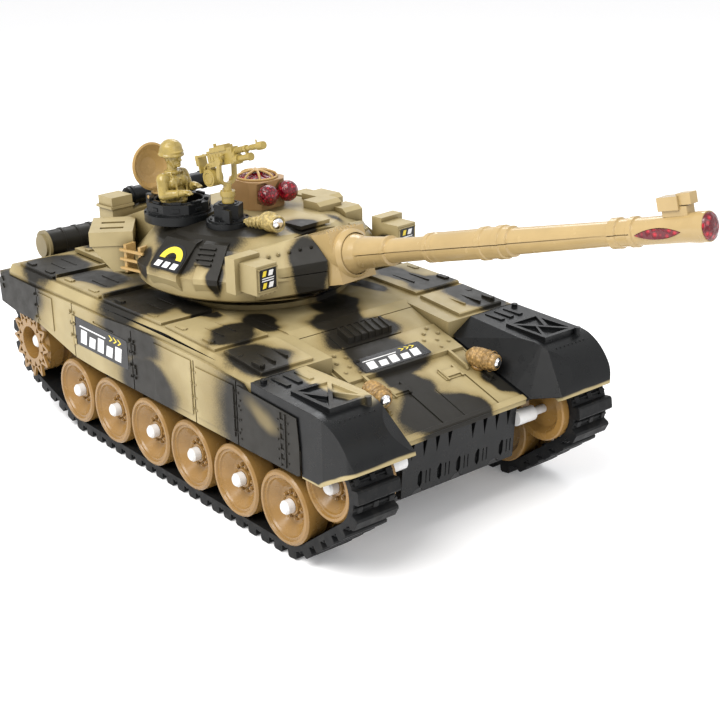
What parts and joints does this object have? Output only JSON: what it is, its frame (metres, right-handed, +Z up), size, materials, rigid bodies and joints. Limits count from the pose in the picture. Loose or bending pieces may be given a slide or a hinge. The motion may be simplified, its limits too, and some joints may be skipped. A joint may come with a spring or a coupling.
{
  "type": "rc tank",
  "caption": "Battle tank model driven by radio, with two tracks, a turning turret, a gun that rises and falls, a crewman and a machine gun.",
  "frame": {"origin": "on the ground under the middle of the overall length, gun included, and midway between the tracks", "axes": "+X to the front, +Y to the left, +Z up"},
  "size_m": [0.3954, 0.1606, 0.1661],
  "materials": {
    "camouflage_plastic": "satin moulded plastic in sand with soft airbrushed black patches",
    "black_plastic": "satin black moulded plastic",
    "ochre_plastic": "semi-gloss ochre moulded plastic",
    "peach_plastic": "semi-gloss peach-tan moulded plastic",
    "mustard_plastic": "semi-gloss mustard moulded plastic",
    "brown_plastic": "satin light brown moulded plastic",
    "red_lens": "clear ruby-red moulded lens",
    "track_rubber": "matt black soft rubber",
    "white_plastic": "natural white moulded plastic",
    "chrome": "bright plated reflector",
    "board": "green circuit board and dark moulded parts",
    "steel": "plain steel",
    "battery_wrap": "blue shrink wrap"
  },
  "bodies": {
    "hull": {"lower_hull": "black_plastic", "upper_hull": "camouflage_plastic", "side_skirt_right": "camouflage_plastic", "side_skirt_left": "camouflage_plastic", "mudguard_right": "black_plastic", "mudguard_left": "black_plastic", "front_plate": "black_plastic", "battery_cover": "black_plastic", "battery_pack": "battery_wrap", "control_board": "board", "speaker": "board", "drive_gearboxes": "white_plastic", "motors": "steel", "hull_screws": "steel", "fuel_drums": "black_plastic", "headlights": "peach_plastic", "headlight_lenses": "chrome", "track_right": "track_rubber", "track_left": "track_rubber", "axle_stubs_right": "white_plastic", "axle_stubs_left": "white_plastic"},
    "turret": {"turret_lower": "camouflage_plastic", "turret_upper": "camouflage_plastic", "armour_blocks": "camouflage_plastic", "stowage_boxes": "camouflage_plastic", "snorkel": "black_plastic", "tool_rack": "peach_plastic", "receiver_box": "brown_plastic", "receiver_lens": "red_lens", "led_domes": "red_lens", "cupola": "black_plastic", "figure": "mustard_plastic", "mg_pedestal": "black_plastic", "searchlight": "mustard_plastic"},
    "gun": {"mantlet": "peach_plastic", "gun_barrel": "peach_plastic", "muzzle_lens": "red_lens"},
    "hatch": {"hatch_lid": "peach_plastic"},
    "mg_mount": {"mg_yoke": "mustard_plastic"},
    "mg": {"machine_gun": "mustard_plastic"},
    "switch": {"power_switch": "white_plastic"},
    "sprocket_right": {"sprocket_right": "ochre_plastic", "drive_shaft_right": "white_plastic"},
    "idler_right": {"idler_right": "ochre_plastic"},
    "wheel_right_1": {"road_wheel_right_1": "ochre_plastic"},
    "wheel_right_2": {"road_wheel_right_2": "ochre_plastic"},
    "wheel_right_3": {"road_wheel_right_3": "ochre_plastic"},
    "wheel_right_4": {"road_wheel_right_4": "ochre_plastic"},
    "wheel_right_5": {"road_wheel_right_5": "ochre_plastic"},
    "wheel_right_6": {"road_wheel_right_6": "ochre_plastic"},
    "sprocket_left": {"sprocket_left": "ochre_plastic", "drive_shaft_left": "white_plastic"},
    "idler_left": {"idler_left": "ochre_plastic"},
    "wheel_left_1": {"road_wheel_left_1": "ochre_plastic"},
    "wheel_left_2": {"road_wheel_left_2": "ochre_plastic"},
    "wheel_left_3": {"road_wheel_left_3": "ochre_plastic"},
    "wheel_left_4": {"road_wheel_left_4": "ochre_plastic"},
    "wheel_left_5": {"road_wheel_left_5": "ochre_plastic"},
    "wheel_left_6": {"road_wheel_left_6": "ochre_plastic"}
  },
  "joints": [
    {"name": "right_sprocket_spin", "type": "hinge", "parent": "hull", "child": "sprocket_right", "pos_m": [-0.16312, -0.06, 0.0376], "axis": [0, 1, 0], "continuous": true},
    {"name": "right_idler_spin", "type": "hinge", "parent": "hull", "child": "idler_right", "pos_m": [0.09158, -0.06, 0.042], "axis": [0, 1, 0], "continuous": true},
    {"name": "right_wheel_1_spin", "type": "hinge", "parent": "hull", "child": "wheel_right_1", "pos_m": [-0.11582, -0.06, 0.0235], "axis": [0, 1, 0], "continuous": true},
    {"name": "right_wheel_2_spin", "type": "hinge", "parent": "hull", "child": "wheel_right_2", "pos_m": [-0.07982, -0.06, 0.0235], "axis": [0, 1, 0], "continuous": true},
    {"name": "right_wheel_3_spin", "type": "hinge", "parent": "hull", "child": "wheel_right_3", "pos_m": [-0.04382, -0.06, 0.0235], "axis": [0, 1, 0], "continuous": true},
    {"name": "right_wheel_4_spin", "type": "hinge", "parent": "hull", "child": "wheel_right_4", "pos_m": [-0.00782, -0.06, 0.0235], "axis": [0, 1, 0], "continuous": true},
    {"name": "right_wheel_5_spin", "type": "hinge", "parent": "hull", "child": "wheel_right_5", "pos_m": [0.02818, -0.06, 0.0235], "axis": [0, 1, 0], "continuous": true},
    {"name": "right_wheel_6_spin", "type": "hinge", "parent": "hull", "child": "wheel_right_6", "pos_m": [0.06418, -0.06, 0.0235], "axis": [0, 1, 0], "continuous": true},
    {"name": "left_sprocket_spin", "type": "hinge", "parent": "hull", "child": "sprocket_left", "pos_m": [-0.16312, 0.06, 0.0376], "axis": [0, 1, 0], "continuous": true},
    {"name": "left_idler_spin", "type": "hinge", "parent": "hull", "child": "idler_left", "pos_m": [0.09158, 0.06, 0.042], "axis": [0, 1, 0], "continuous": true},
    {"name": "left_wheel_1_spin", "type": "hinge", "parent": "hull", "child": "wheel_left_1", "pos_m": [-0.11582, 0.06, 0.0235], "axis": [0, 1, 0], "continuous": true},
    {"name": "left_wheel_2_spin", "type": "hinge", "parent": "hull", "child": "wheel_left_2", "pos_m": [-0.07982, 0.06, 0.0235], "axis": [0, 1, 0], "continuous": true},
    {"name": "left_wheel_3_spin", "type": "hinge", "parent": "hull", "child": "wheel_left_3", "pos_m": [-0.04382, 0.06, 0.0235], "axis": [0, 1, 0], "continuous": true},
    {"name": "left_wheel_4_spin", "type": "hinge", "parent": "hull", "child": "wheel_left_4", "pos_m": [-0.00782, 0.06, 0.0235], "axis": [0, 1, 0], "continuous": true},
    {"name": "left_wheel_5_spin", "type": "hinge", "parent": "hull", "child": "wheel_left_5", "pos_m": [0.02818, 0.06, 0.0235], "axis": [0, 1, 0], "continuous": true},
    {"name": "left_wheel_6_spin", "type": "hinge", "parent": "hull", "child": "wheel_left_6", "pos_m": [0.06418, 0.06, 0.0235], "axis": [0, 1, 0], "continuous": true},
    {"name": "turret_turn", "type": "hinge", "parent": "hull", "child": "turret", "pos_m": [-0.05782, 0, 0.08], "axis": [0, 0, 1], "range_deg": [-165.8, 154.2]},
    {"name": "gun_elevation", "type": "hinge", "parent": "turret", "child": "gun", "pos_m": [-0.01206, 0.00465, 0.1022], "axis": [0.1011, -0.9949, 0], "range_deg": [-14, 6]},
    {"name": "hatch_swing", "type": "hinge", "parent": "turret", "child": "hatch", "pos_m": [-0.09508, -0.03394, 0.124], "axis": [-0.1011, 0.9949, 0], "range_deg": [-10, 20]},
    {"name": "mg_swivel", "type": "hinge", "parent": "turret", "child": "mg_mount", "pos_m": [-0.04639, -0.02346, 0.122], "axis": [0, 0, 1], "range_deg": [-20, 20]},
    {"name": "mg_elevation", "type": "hinge", "parent": "mg_mount", "child": "mg", "pos_m": [-0.04639, -0.02346, 0.148], "axis": [0.1011, -0.9949, 0], "range_deg": [-20, 10]},
    {"name": "power_slide", "type": "slide", "parent": "hull", "child": "switch", "axis": [1, 0, 0], "range_m": [0, 0.003]}
  ],
  "couplings": [
    {"joint": "right_idler_spin", "follows": "right_sprocket_spin", "ratio": 1.1438},
    {"joint": "right_wheel_1_spin", "follows": "right_sprocket_spin", "ratio": 1.0116},
    {"joint": "right_wheel_2_spin", "follows": "right_sprocket_spin", "ratio": 1.0116},
    {"joint": "right_wheel_3_spin", "follows": "right_sprocket_spin", "ratio": 1.0116},
    {"joint": "right_wheel_4_spin", "follows": "right_sprocket_spin", "ratio": 1.0116},
    {"joint": "right_wheel_5_spin", "follows": "right_sprocket_spin", "ratio": 1.0116},
    {"joint": "right_wheel_6_spin", "follows": "right_sprocket_spin", "ratio": 1.0116},
    {"joint": "left_idler_spin", "follows": "left_sprocket_spin", "ratio": 1.1438},
    {"joint": "left_wheel_1_spin", "follows": "left_sprocket_spin", "ratio": 1.0116},
    {"joint": "left_wheel_2_spin", "follows": "left_sprocket_spin", "ratio": 1.0116},
    {"joint": "left_wheel_3_spin", "follows": "left_sprocket_spin", "ratio": 1.0116},
    {"joint": "left_wheel_4_spin", "follows": "left_sprocket_spin", "ratio": 1.0116},
    {"joint": "left_wheel_5_spin", "follows": "left_sprocket_spin", "ratio": 1.0116},
    {"joint": "left_wheel_6_spin", "follows": "left_sprocket_spin", "ratio": 1.0116}
  ]
}
